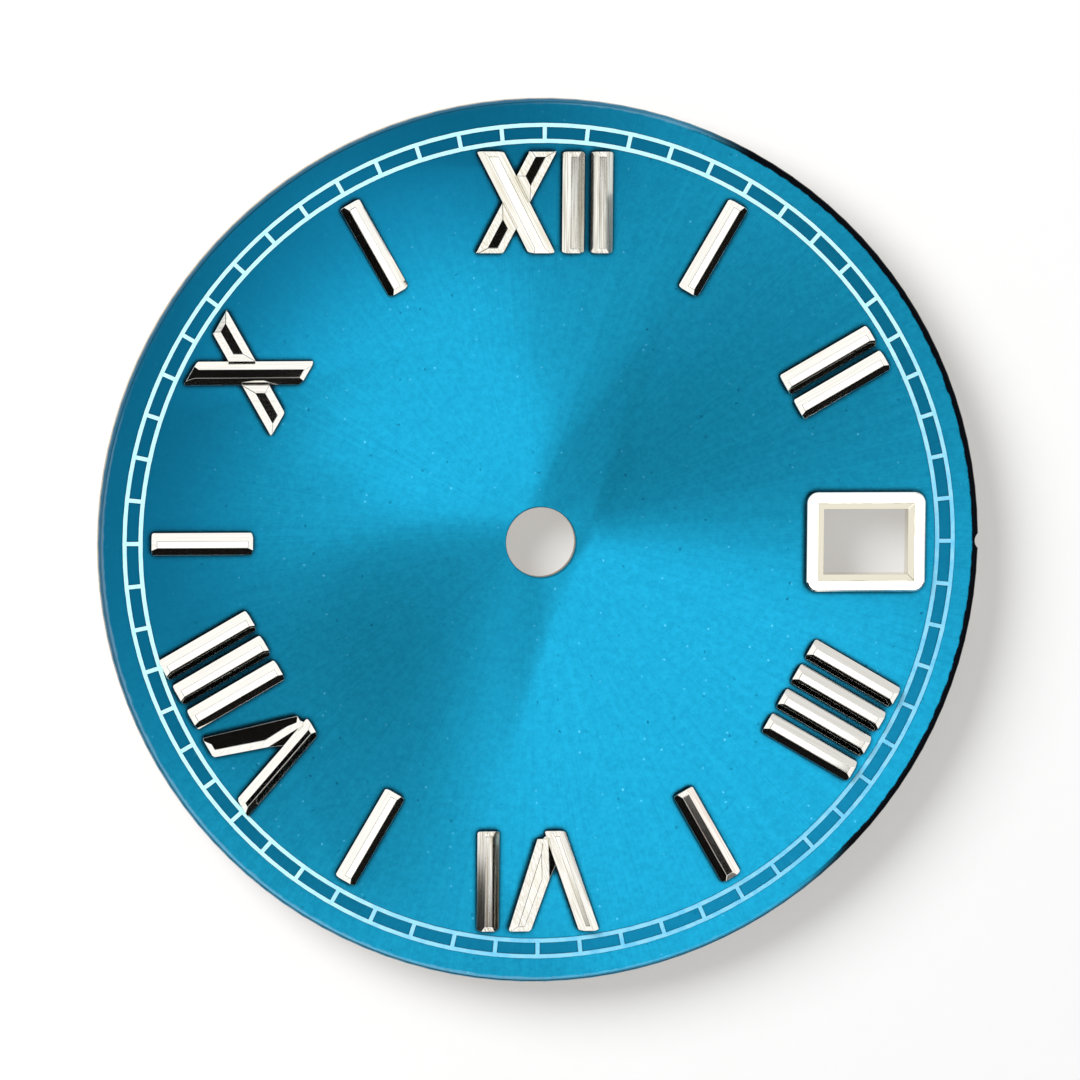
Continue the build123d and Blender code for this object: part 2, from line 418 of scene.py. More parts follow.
    def specks(self, board: NodeBoard, place: Socket, per_millimetre: float, share: float) -> Socket:
        """Few small specks in the lacquer.

        Args:
            board: The material's board.
            place: Coordinates in millimetres.
            per_millimetre: Cells per millimetre, each with room for one speck.
            share: Share of cells without a speck.

        Returns:
            Share of speck, as a socket.
        """
        inputs = {"Vector": place, "Scale": per_millimetre, "Randomness": 1.0}
        cells = board.add("ShaderNodeTexVoronoi", inputs, voronoi_dimensions="2D")
        tint = board.add("ShaderNodeSeparateColor", {0: cells.outputs["Color"]}).outputs[0]
        chosen = board.maths("GREATER_THAN", tint, share)
        ragged = board.spread(board.noise(place, 12.0, 2, 0.6), 0.3, 0.7, -0.03, 0.03)
        spot = board.spread(board.maths("ADD", cells.outputs["Distance"], ragged), 0.0, 0.07, 0.75, 0.0)
        crowd = board.spread(board.noise(place, 0.35, 2, 0.5), 0.38, 0.6, 0.2, 1.0)
        return board.maths("MULTIPLY", chosen, board.maths("MULTIPLY", spot, crowd))

    def bare_metal(self, board: NodeBoard) -> Socket:
        """Turned brass of the back and of the cut walls.

        Args:
            board: The material's board.

        Returns:
            The shader's socket.
        """
        place = board.millimetres()
        distance = board.measure("LENGTH", board.vector("MULTIPLY", place, (1, 1, 0)))
        inputs = {"W": distance, "Scale": 9.0, "Detail": 4.0, "Roughness": 0.7}
        rings = board.add("ShaderNodeTexNoise", inputs, noise_dimensions="1D").outputs["Fac"]
        cloud = board.noise(place, 0.35, 4, 0.6)
        colour = board.mix_colours(board.spread(cloud, 0.42, 0.75, 0.0, 0.8), self.brass, self.tarnish)
        roughness = board.spread(rings, 0.3, 0.7, 0.3, 0.45)
        return board.metal(colour, roughness, {"Normal": board.bump(rings, 0.4, 0.004)})

    def material(self) -> bpy.types.Material:
        """The plate's material, lacquered above a height and bare below it.

        Returns:
            The material.
        """
        material, board = new_material("Blue_sunburst_lacquer")
        place = board.millimetres()
        height = board.add("ShaderNodeSeparateXYZ", {0: place}).outputs["Z"]
        uneven = board.spread(board.noise(place, 6.0), 0.3, 0.7, -0.015, 0.015)
        lacquered = board.maths("GREATER_THAN", board.maths("ADD", height, uneven), self.lacquer_edge)
        inputs = {0: lacquered, 1: self.bare_metal(board), 2: self.face(board)}
        board.output(board.add("ShaderNodeMixShader", inputs).outputs[0])
        return material


@dataclass(frozen=True)
class SteelFinish:
    """How bright and how even one mark's polish is."""

    tone: Colour = (0.95, 0.935, 0.88)
    shade: Colour = (0.88, 0.86, 0.79)
    roughness: float = 0.06
    waviness: float = 0.07


@dataclass(frozen=True)
class PolishedSteel:
    """Mirror steel with faint polishing lines along one direction."""

    name: str
    along: float = 0.0
    finish: SteelFinish = SteelFinish()
    fine_share: float = 0.2

    def material(self) -> bpy.types.Material:
        """Builds the steel.

        Returns:
            The material.
        """
        material, board = new_material(self.name)
        along_lines = board.millimetres(self.along, (9.0, 0.25, 9.0))
        broad = board.noise(along_lines, 0.55, 1.5, 0.5)
        fine = board.noise(along_lines, 2.0, 2, 0.5)
        finish = self.finish
        share = board.spread(fine, 0.35, 0.7)
        colour = board.mix_colours(share, finish.tone, finish.shade)
        relief = board.blend(self.fine_share, broad, fine)
        normal = board.bump(relief, finish.waviness, 0.006)
        board.output(board.metal(colour, finish.roughness, {"Normal": normal}))
        return material


@dataclass(frozen=True)
class FrameSteel:
    """Mirror steel of the date window's frame, with a painted reflection that makes its inner bevel darker
    and creamier, and a painted dark stripe along the bevel's outer edge.
    """

    tone: Colour = (0.95, 0.94, 0.90)
    bevel_reflection_cream: Colour = (0.78, 0.74, 0.61)
    painted_edge_shade: Colour = (0.50, 0.45, 0.33)
    opening: WindowOpening = WindowOpening()
    bevel: float = 0.205
    roughness: float = 0.08

    def material(self) -> bpy.types.Material:
        """Builds the steel.

        Returns:
            The material.
        """
        material, board = new_material("Frame_steel")
        split = board.add("ShaderNodeSeparateXYZ", {0: board.millimetres()}).outputs
        beside = board.maths("ABSOLUTE", board.maths("SUBTRACT", split["X"], self.opening.centre_x))
        past_x = board.maths("SUBTRACT", beside, self.opening.half_x)
        past_y = board.maths("SUBTRACT", board.maths("ABSOLUTE", split["Y"]), self.opening.half_y)
        away = board.maths("MAXIMUM", past_x, past_y)
        band = board.spread(away, self.bevel, self.bevel + 0.02)
        # painted reflection: the inner bevel darker and creamier than the flat band
        colour = board.mix_colours(band, self.bevel_reflection_cream, self.tone)
        # painted shade: a dark stripe where the bevel meets the flat band
        near_line = board.maths("ABSOLUTE", board.maths("SUBTRACT", away, self.bevel))
        uneven = board.spread(board.noise(board.millimetres(), 1.6, 2, 0.5), 0.4, 0.65, 0.15, 0.85)
        share = board.maths("MULTIPLY", board.spread(near_line, 0.008, 0.03, 1.0, 0.0), uneven)
        colour = board.mix_colours(share, colour, self.painted_edge_shade)
        board.output(board.metal(colour, self.roughness, {}))
        return material


@dataclass(frozen=True)
class TrackInk:
    """Pad-printed ink that lets the blue through in random patches where it is thinnest, with painted shade
    that turns it bluer towards half past four.
    """

    full: Colour = (0.50, 0.88, 0.96)
    thin_and_shaded: Colour = (0.10, 0.54, 0.84)
    ink_shade_clock: float = 137.0
    track_radius: float = 13.0

    def material(self) -> bpy.types.Material:
        """Builds the ink.

        Returns:
            The material.
        """
        material, board = new_material("Track_ink")
        place = board.millimetres()
        toward = tuple(clock_vector(self.ink_shade_clock) / self.track_radius)
        side = board.measure("DOT_PRODUCT", place, toward)
        cover = board.noise(place, 2.2, 3, 0.6)
        grain = board.noise(place, 14.0, 2, 0.6)
        # painted shade: the ink bluer towards half past four; the random patches below are uneven ink
        painted_ink_shade = board.spread(side, 0.0, 0.75, 0.0, 0.8)
        uneven = board.spread(cover, 0.35, 0.7, -0.1, 0.2)
        thinness_and_shade = board.maths("ADD", painted_ink_shade, uneven, clamp=True)
        colour = board.mix_colours(thinness_and_shade, self.full, self.thin_and_shaded)
        shader = board.add(
            "ShaderNodeBsdfPrincipled",
            {"Base Color": colour, "Roughness": 0.42, "Normal": board.bump(grain, 0.3, 0.004)},
        )
        board.output(shader.outputs[0])
        return material


@dataclass(frozen=True)
class FootCopper:
    """Copper wire of the feet, brightened by handling and dull in random patches."""

    bright: Colour = (0.80, 0.44, 0.28)
    dull: Colour = (0.42, 0.20, 0.11)

    def material(self) -> bpy.types.Material:
        """Builds the copper.

        Returns:
            The material.
        """
        material, board = new_material("Foot_copper")
        drawn = board.noise(board.millimetres(0.0, (6.0, 6.0, 1.0)), 1.5, 3, 0.6)
        cloud = board.noise(board.millimetres(), 2.0, 3, 0.6)
        colour = board.mix_colours(board.spread(cloud, 0.4, 0.7, 0.0, 0.9), self.bright, self.dull)
        roughness = board.spread(cloud, 0.35, 0.7, 0.24, 0.42)
        board.output(board.metal(colour, roughness, {"Normal": board.bump(drawn, 0.3, 0.006)}))
        return material


@dataclass
class RefinedPiece:
    """Copy of a CAD node with clean faces and softened edges, shown in the node's place while the node is
    hidden.
    """

    node: str
    source: bpy.types.Object
    slot: Slot
    edge_softness: float = 0.012
    edge_segments: int = 2
    sharpest_smooth: float = 32.0
    join_distance: float = 0.0015
    flat_angle: float = 0.4
    least_edge_angle: float = 18.0

    def copy_mesh(self) -> bpy.types.Object:
        """Copies the node and joins its loose triangles into whole faces.

        Returns:
            The copy, which rides on nothing yet.
        """
        select_only(self.source)
        bpy.ops.object.duplicate(linked=False)
        piece = bpy.context.active_object
        for key in [key for key in piece.keys() if key.startswith("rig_")]:
            del piece[key]
        piece.parent = None
        piece.matrix_world = Matrix.Identity(4)
        piece.name = self.node.capitalize() + "_dressed"
        piece.data.name = piece.name
        piece.data.materials.clear()
        select_only(piece)
        bpy.ops.object.mode_set(mode="EDIT")
        bpy.ops.mesh.select_all(action="SELECT")
        bpy.ops.mesh.customdata_custom_splitnormals_clear()
        bpy.ops.mesh.remove_doubles(threshold=self.join_distance * MM)
        bpy.ops.mesh.dissolve_limited(angle_limit=math.radians(self.flat_angle))
        bpy.ops.object.mode_set(mode="OBJECT")
        return piece

    def soften(self, piece: bpy.types.Object) -> None:
        """Rounds every edge a little and shades the piece.

        Args:
            piece: The copy.
        """
        select_only(piece)
        bpy.ops.object.shade_smooth_by_angle(angle=math.radians(self.sharpest_smooth))
        if not self.edge_softness:
            return
        bpy.ops.object.modifier_add(type="BEVEL")
        bevel = piece.modifiers[-1]
        bevel.width = self.edge_softness * MM
        bevel.segments = self.edge_segments
        bevel.limit_method = "ANGLE"
        bevel.angle_limit = math.radians(self.least_edge_angle)
        bevel.use_clamp_overlap = True
        bevel.harden_normals = True
        bpy.ops.object.modifier_apply(modifier=bevel.name)

    def shape(self, piece: bpy.types.Object) -> None:
        """Changes of shape before the edges are softened, none for a plain piece."""

    def build(self, material: bpy.types.Material) -> bpy.types.Object:
        """Makes the piece, dresses it, puts it on the root body and hides its node.

        Args:
            material: Its material.

        Returns:
            The piece.
        """
        piece = self.copy_mesh()
        self.shape(piece)
        self.soften(piece)
        piece.data.materials.append(material)
        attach(piece, "root")
        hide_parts(self.node)
        LOG.info("%s: %d faces", piece.name, len(piece.data.polygons))
        return piece


@dataclass(frozen=True)
class TopTilt:
    """Slight lean of one flat top, as left by hand polishing."""

    degrees: float
    toward: float = 315.0


@dataclass(frozen=True)
class WallLift:
    """Raised top of the walls that face one clock angle, which flattens the facet above them."""

    toward: float
    millimetres: float
    wall_height: float = 0.12


@dataclass
class AppliedMark(RefinedPiece):
    """Baton or numeral stroke with its faceted tops."""

    hour: int = 12
    tilts: dict[str, TopTilt] = field(default_factory=dict)
    lifts: tuple[WallLift, ...] = ()
    least_wall_area: float = 0.02
    middle_reach: float = 0.5
    end_wall_height: float = 0.25
    face_height: float = 0.4
    least_top_height: float = 0.725
    foot_height: float = 0.05
    same_height: float = 0.01
    same_direction: float = 0.96
    level: float = 0.999
    steepness: tuple[float, float] = (0.1, 0.9)

    def role(self, centre: Vector, middle: Vector) -> str:
        """Name of the stroke that a top belongs to.

        Args:
            centre: Middle of the top, in the dial's frame.
            middle: Middle of the whole piece.

        Returns:
            One of the names that tilts may hold.
        """
        turn = Matrix.Rotation(math.radians(HOUR_ANGLE * self.hour), 3, "Z")
        offset = turn @ (centre - middle)
        if self.node.endswith("_x"):
            if abs(offset.y) < self.middle_reach * MM:
                return "whole"
            return "upper" if offset.y > 0 else "lower"
        if self.node.endswith("_v"):
            return "leg" if offset.x < 0 else "blade"
        return "bar"

    def shape(self, piece: bpy.types.Object) -> None:
        """Leans the flat tops and flattens some of the long facets, as hand polishing does.

        Args:
            piece: The copy.
        """
        mesh = piece.data
        low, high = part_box(self.node)
        middle = (low + high) / 2
        self.flatten_facets(mesh)
        self.square_ends(mesh)
        tops = [face for face in mesh.polygons if face.normal.z > self.level and self.is_high(face.center)]
        for face in tops:
            role = self.role(face.center, middle)
            tilt = self.tilts.get(role)
            if tilt is None:
                continue
            moved = set(face.vertices)
            if role == "bar":
                least = (self.face_height + self.foot_height) * MM
                moved = {vertex.index for vertex in mesh.vertices if vertex.co.z > least}
            self.lean(mesh, moved, face.center.copy(), tilt)
        mesh.update()

    def lean(self, mesh: bpy.types.Mesh, moved: set[int], centre: Vector, tilt: TopTilt) -> None:
        """Lowers some vertices so that they lie on a leaning plane, and raises none.

        Args:
            mesh: The mesh.
            moved: Indices of the vertices.
            centre: Middle of the top.
            tilt: How far and where it leans.
        """
        fall = clock_vector(tilt.toward) * math.tan(math.radians(tilt.degrees))
        drops = {i: fall.dot(mesh.vertices[i].co - centre) for i in moved}
        least = min(drops.values())
        for i, drop in drops.items():
            mesh.vertices[i].co.z -= drop - least

    def wall_lift(self, normal: Vector, height: float) -> float:
        """How far one corner at the top of a wall is raised.

        Args:
            normal: The wall's outward normal.
            height: The corner's height above the face, in millimetres.

        Returns:
            The lift in millimetres.
        """
        found = [0.0]
        for lift in self.lifts:
            faces_there = normal.dot(clock_vector(lift.toward)) > self.same_direction
            if faces_there and abs(height - lift.wall_height) < self.same_height:
                found.append(lift.millimetres)
        return max(found)

    def flatten_facets(self, mesh: bpy.types.Mesh) -> None:
        """Raises the tops of some walls, which flattens the facets above them.

        Args:
            mesh: The mesh.
        """
        raised: dict[int, float] = {}
        for face in mesh.polygons:
            if abs(face.normal.z) > self.steepness[0] or face.area < self.least_wall_area * MM**2:
                continue
            for i in face.vertices:
                height = mesh.vertices[i].co.z / MM - self.face_height
                raised[i] = max(raised.get(i, 0.0), self.wall_lift(face.normal, height))
        for i, lift in raised.items():
            mesh.vertices[i].co.z += lift * MM

    def is_high(self, place: Vector) -> bool:
        """Whether a point lies as high as the flat tops."""
        return place.z > self.least_top_height * MM

    def is_end_facet(self, face: bmesh.types.BMFace) -> bool:
        """Whether a face is the sloping facet at one end of a stroke.

        Args:
            face: The face.

        Returns:
            True for a facet that faces along the hour's radius and meets a flat top.
        """
        least, most = self.steepness
        if not least < face.normal.z < most:
            return False
        sideways = Vector((face.normal.x, face.normal.y, 0.0)).normalized()
        high = [vertex for vertex in face.verts if self.is_high(vertex.co)]
        along = abs(sideways.dot(clock_vector(HOUR_ANGLE * self.hour)))
        return len(high) == 2 and along > self.same_direction

    def square_ends(self, mesh: bpy.types.Mesh) -> None:
        """Lets the long facets run on to the end walls, so that the end facets become small and flat.

        Args:
            mesh: The mesh.
        """
        shell = bmesh.new()
        shell.from_mesh(mesh)
        shell.normal_update()
        for facet in [face for face in shell.faces if self.is_end_facet(face)]:
            self.square_end(facet)
        shell.to_mesh(mesh)
        shell.free()

    def square_end(self, facet: bmesh.types.BMFace) -> None:
        """Splits one end facet into the upper part of the end wall and a flatter facet.

        Args:
            facet: The end facet.
        """
        outward = Vector((facet.normal.x, facet.normal.y, 0.0)).normalized()
        wall = max(vertex.co.dot(outward) for vertex in facet.verts)
        along = outward.cross(Vector((0, 0, 1)))
        cuts = []
        for slope in facet.edges:
            corners = [vertex for vertex in slope.verts if not self.is_high(vertex.co)]
            if len(corners) != 1:
                continue
            corner = corners[0]
            side = next(face for face in slope.link_faces if face is not facet)
            rise = (self.face_height + self.end_wall_height) * MM - corner.co.z
            step = outward * (wall - corner.co.dot(outward)) + Vector((0, 0, rise))
            place = corner.co + step - along * (side.normal.dot(step) / side.normal.dot(along))
            cuts.append((slope, corner, place))
        fresh = []
        for slope, corner, place in cuts:
            vertex = bmesh.utils.edge_split(slope, corner, 0.5)[1]
            vertex.co = place
            fresh.append(vertex)
        bmesh.utils.face_split(facet, *fresh)


@dataclass
class WindowFrame(RefinedPiece):
    """Date window's frame, whose inner bevel is polished flatter at its lower edge."""

    opening: WindowOpening = WindowOpening()
    margin: float = 0.05
    bevel_foot: float = 0.51
    same_height: float = 0.03
    flattening: float = 0.13

    def shape(self, piece: bpy.types.Object) -> None:
        """Raises the lower edge of the inner bevel.

        Args:
            piece: The copy.
        """
        reach_x, reach_y = self.opening.half_x + self.margin, self.opening.half_y + self.margin
        for vertex in piece.data.vertices:
            x, y, z = vertex.co / MM
            inside = abs(x - self.opening.centre_x) < reach_x and abs(y) < reach_y
            if inside and abs(z - self.bevel_foot) < self.same_height:
                vertex.co.z += self.flattening * MM


@dataclass
class DialPlate(RefinedPiece):
    """Plate whose cut edges at the face are rounded over by the lacquer."""

    hole_rounding: float = 0.06
    rounding_segments: int = 4
    hole_reach: float = 1.2
    same_height: float = 0.002

    def shape(self, piece: bpy.types.Object) -> None:
        """Rounds the centre hole's edge at the face.

        Args:
            piece: The copy.
        """
        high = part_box(self.node)[1]
        select_only(piece)
        bpy.ops.object.mode_set(mode="EDIT")
        bpy.ops.mesh.select_all(action="DESELECT")
        shell = bmesh.from_edit_mesh(piece.data)
        shell.select_mode = {"EDGE"}
        for edge in shell.edges:
            ends = [vertex.co for vertex in edge.verts]
            on_face = all(abs(end.z - high.z) < self.same_height * MM for end in ends)
            on_hole = all(end.xy.length < self.hole_reach * MM for end in ends)
            edge.select = on_face and on_hole
        shell.select_flush_mode()
        bmesh.update_edit_mesh(piece.data)
        width, steps = self.hole_rounding * MM, self.rounding_segments
        bpy.ops.mesh.bevel(offset=width, segments=steps, affect="EDGES", clamp_overlap=True)
        bpy.ops.object.mode_set(mode="OBJECT")


@dataclass(frozen=True)
class PhotoCamera:
    """Camera that looks down at the dial, leaning towards half past ten."""

    place: tuple[float, float, float] = (-38.88, 28.58, 292.76)
    look: tuple[float, float, float] = (0.1311, -0.0962, -0.9867)
    picture_up: tuple[float, float, float] = (0.0039, 0.9953, -0.0965)
    lens: float = 307.9
    sensor: float = 36.0
    clip: tuple[float, float] = (1.0, 5000.0)

    def build(self) -> None:
        """Makes the camera and sets it as the scene's own."""
        ahead = Vector(self.look).normalized()
        right = ahead.cross(Vector(self.picture_up)).normalized()
        upward = right.cross(ahead)
        turn = Matrix((right, upward, -ahead)).transposed().to_4x4()
        camera = bpy.data.cameras.new("Photo_camera")
        camera.lens = self.lens
        camera.sensor_width = self.sensor
        camera.clip_start, camera.clip_end = (distance * MM for distance in self.clip)
        place = Matrix.Translation(Vector(self.place) * MM) @ turn
        bpy.context.scene.camera = put_in_scene("Photo_camera", camera, place)


@dataclass
class Studio:
    """Paper floor, overhead lights for lacquer and steel, soft key light, dark screens and pale room."""

    floor_depth: float = 1.5
    floor_size: float = 1600.0
    floor_glow: float = 0.38
    papers: tuple[float, float] = (0.92, 0.93)
    felts: tuple[Colour, Colour] = ((0.004, 0.004, 0.004), (0.008, 0.007, 0.006))
    window_place: tuple[float, float, float] = (21.5, -15.0, 150.0)
    window_clock: float = 53.0
    window_waist: float = 17.0
    window_flare: float = 1.2
    window_north_flare: float = 0.6
    window_reach: float = 110.0
    window_radiance: float = 2.62
    panel_place: tuple[float, float, float] = (20.6, -15.1, 150.0)
    panel_size: tuple[float, float] = (28.5, 46.0)
    panel_radiance: float = 1.4
    panel_closeness: float = 0.93
    panel_clock: float = 45.0
    key_clock: float = 305.0
    key_elevation: float = 40.0
    key_distance: float = 300.0
    key_size: float = 190.0
    key_share: float = 0.88
    screen_distance: float = 50.0
    screen_height: float = 18.0
    screen_from: float = 99.0
    screen_to: float = 250.0
    ceiling_height: float = 220.0
    ceiling_radius: float = 162.0
    sky: float = 0.33
    mirrored_sky: float = 1.08
    grey_sky: float = 0.72
    grey_sky_clock: float = 39.0
    grey_sky_edge: tuple[float, float] = (0.86, 0.97)
    lacquered_pieces: list[bpy.types.Object] = field(default_factory=list)
    polished_pieces: list[bpy.types.Object] = field(default_factory=list)

    def seen_directly(self, board: NodeBoard) -> Socket:
        """1 for camera, glossy and transmission rays, and 0 for the light that falls on things.

        Args:
            board: The board of the floor or the world.

        Returns:
            The value's socket.
        """
        rays = board.add("ShaderNodeLightPath").outputs
        shiny = board.maths("MAXIMUM", rays["Is Glossy Ray"], rays["Is Transmission Ray"])
        return board.maths("MAXIMUM", rays["Is Camera Ray"], shiny)

    def floor(self) -> None:
        """Large sheet of white paper under the feet."""
        add = bpy.ops.mesh.primitive_plane_add
        place = (0, 0, -self.floor_depth * MM)
        paper = add_primitive("Paper_floor", add, size=self.floor_size * MM, location=place)
        material, board = new_material("White_paper")
        fibre = board.noise(board.millimetres(), 1.5, 4, 0.6)
        greys = [(level,) * 3 for level in self.papers]
        white = board.mix_colours(board.spread(fibre, 0.3, 0.7), *greys)
        sheet = board.add("ShaderNodeBsdfDiffuse", {"Color": white})
        glow = board.add("ShaderNodeEmission", {0: WHITE, 1: 1.0})
        share = board.maths("MULTIPLY", self.seen_directly(board), self.floor_glow)
        both = board.add("ShaderNodeMixShader", {0: share, 1: sheet.outputs[0], 2: glow.outputs[0]})
        board.output(both.outputs[0])
        paper.data.materials.append(material)

    def set_card(self, card: bpy.types.Object, material: bpy.types.Material) -> None:
        """Gives a dark or a bright card its material and hides it from camera, diffuse and shadow rays, so
        that it is seen only in reflections.

        Args:
            card: The card.
            material: Its material.
        """
        card.data.materials.append(material)
        card.visible_camera = False
        card.visible_diffuse = False
        card.visible_shadow = False

    def felt(self) -> bpy.types.Material:
        """Builds the black felt of the screens.

        Returns:
            The material.
        """
        material, board = new_material("Black_felt")
        nap = board.noise(board.millimetres(), 0.8, 2, 0.5)
        shade = board.mix_colours(nap, *self.felts)
        board.output(board.add("ShaderNodeBsdfDiffuse", {"Color": shade}).outputs[0])
        return material

    def south_screen(self, felt: bpy.types.Material) -> None:
        """Low curved screen on the south side of the dial.

        Args:
            felt: Its material.
        """
        wall = add_primitive(
            "South_screen",
            bpy.ops.mesh.primitive_cylinder_add,
            vertices=360,
            radius=self.screen_distance * MM,
            depth=self.screen_height * MM,
            end_fill_type="NOTHING",
            location=(0, 0, (self.screen_height / 2 - self.floor_depth) * MM),
        )
        shell = bmesh.new()
        shell.from_mesh(wall.data)
        away = []
        for face in shell.faces:
            middle = face.calc_center_median()
            clock = math.degrees(math.atan2(middle.x, middle.y)) % 360
            if not self.screen_from < clock < self.screen_to:
                away.append(face)
        bmesh.ops.delete(shell, geom=away, context="FACES")
        shell.to_mesh(wall.data)
        shell.free()
        self.set_card(wall, felt)

    def ceiling_screen(self, felt: bpy.types.Material) -> None:
        """Round screen above the overhead lights.

        Args:
            felt: Its material.
        """
        ceiling = add_primitive(
            "Ceiling_screen",
            bpy.ops.mesh.primitive_circle_add,
            vertices=96,
            radius=self.ceiling_radius * MM,
            fill_type="NGON",
            location=(0, 0, self.ceiling_height * MM),
        )
        self.set_card(ceiling, felt)

    def window_light(self) -> None:
        """Overhead light that is narrow in the middle and flares towards both ends."""
        along = clock_vector(self.window_clock)
        across = clock_vector(self.window_clock + 90)
        reach, waist = self.window_reach, self.window_waist
        north, south = -waist - self.window_north_flare * reach, waist + self.window_flare * reach
        north_side = [(-reach, north), (0.0, -waist), (reach, north)]
        south_side = [(reach, south), (0.0, waist), (-reach, south)]
        centre = Vector(self.window_place)
        corners = [(centre + along * a + across * b) * MM for a, b in north_side + south_side]
        mesh = bpy.data.meshes.new("Window_light")
        mesh.from_pydata(corners, [], [(0, 1, 4, 5), (1, 2, 3, 4)])
        light = put_in_scene("Window_light", mesh, Matrix.Identity(4))
        material, board = new_material("Window_glow")
        glow = board.add("ShaderNodeEmission", {0: WHITE, 1: self.window_radiance})
        board.output(glow.outputs[0])
        self.set_card(light, material)
        self.light_only(light, self.lacquered_pieces)

    def panel_light(self) -> None:
        """Small light below the flared one, which only the polished pieces mirror."""
        light = bpy.data.lights.new("Panel_light", "AREA")
        light.shape = "RECTANGLE"
        light.size, light.size_y = (side * self.panel_closeness * MM for side in self.panel_size)
        light.energy = self.panel_radiance * math.pi * light.size * light.size_y
        place = Vector(self.panel_place) * self.panel_closeness * MM
        along, across = clock_vector(self.panel_clock), clock_vector(self.panel_clock + 90)
        turn = Matrix((across, along, Vector((0, 0, 1)))).transposed().to_4x4()
        holder = put_in_scene("Panel_light", light, Matrix.Translation(place) @ turn)
        holder.visible_camera = False
        holder.visible_diffuse = False
        self.light_only(holder, self.polished_pieces)

    def light_only(self, light: bpy.types.Object, pieces: list[bpy.types.Object]) -> None:
        """Lets a light fall on some pieces only.

        Args:
            light: The light.
            pieces: What it falls on.
        """
        lit = bpy.data.collections.new(light.name + "_receivers")
        for piece in pieces:
            lit.objects.link(piece)
        light.light_linking.receiver_collection = lit

    def key_light(self) -> None:
        """Soft light from the north-west, which gives the shadow on the paper."""
        light = bpy.data.lights.new("Key_light", "AREA")
        light.shape = "DISK"
        light.size = self.key_size * MM
        rise = math.radians(self.key_elevation)
        place = clock_vector(self.key_clock) * math.cos(rise) + Vector((0, 0, math.sin(rise)))
        place *= self.key_distance * MM
        area = math.pi * light.size**2 / 4
        solid = area / place.length_squared
        light.energy = self.key_share * math.pi / (solid * math.sin(rise)) * math.pi * area
        turn = place.to_track_quat("Z", "Y").to_matrix().to_4x4()
        holder = put_in_scene("Key_light", light, Matrix.Translation(place) @ turn)
        holder.visible_camera = False
        holder.visible_glossy = False

    def world(self) -> None:
        """Pale surroundings on every side, a little greyer towards the north-east."""
        world = bpy.data.worlds.new("Pale_room")
        bpy.context.scene.world = world
        world.use_nodes = True
        board = NodeBoard(world.node_tree)
        aim = board.add("ShaderNodeTexCoord").outputs["Generated"]
        facing = board.measure("DOT_PRODUCT", aim, tuple(clock_vector(self.grey_sky_clock)))
        mirrored = board.spread(facing, *self.grey_sky_edge, self.mirrored_sky, self.grey_sky)
        rays = board.add("ShaderNodeLightPath").outputs
        glossy = board.maths("MULTIPLY", rays["Is Glossy Ray"], mirrored)
        seen = board.maths("ADD", rays["Is Camera Ray"], glossy)
        unlit = board.maths("SUBTRACT", 1.0, self.seen_directly(board))
        strength = board.maths("ADD", seen, board.maths("MULTIPLY", unlit, self.sky))
        room = board.add("ShaderNodeBackground", {0: WHITE, 1: strength})
        board.output(room.outputs[0], "ShaderNodeOutputWorld")

    def build(self) -> None:
        """Sets the whole stage."""
        self.world()
        self.floor()
        felt = self.felt()
        self.south_screen(felt)
        self.ceiling_screen(felt)
        self.window_light()
        self.panel_light()
        self.key_light()
        LOG.info("studio: set")


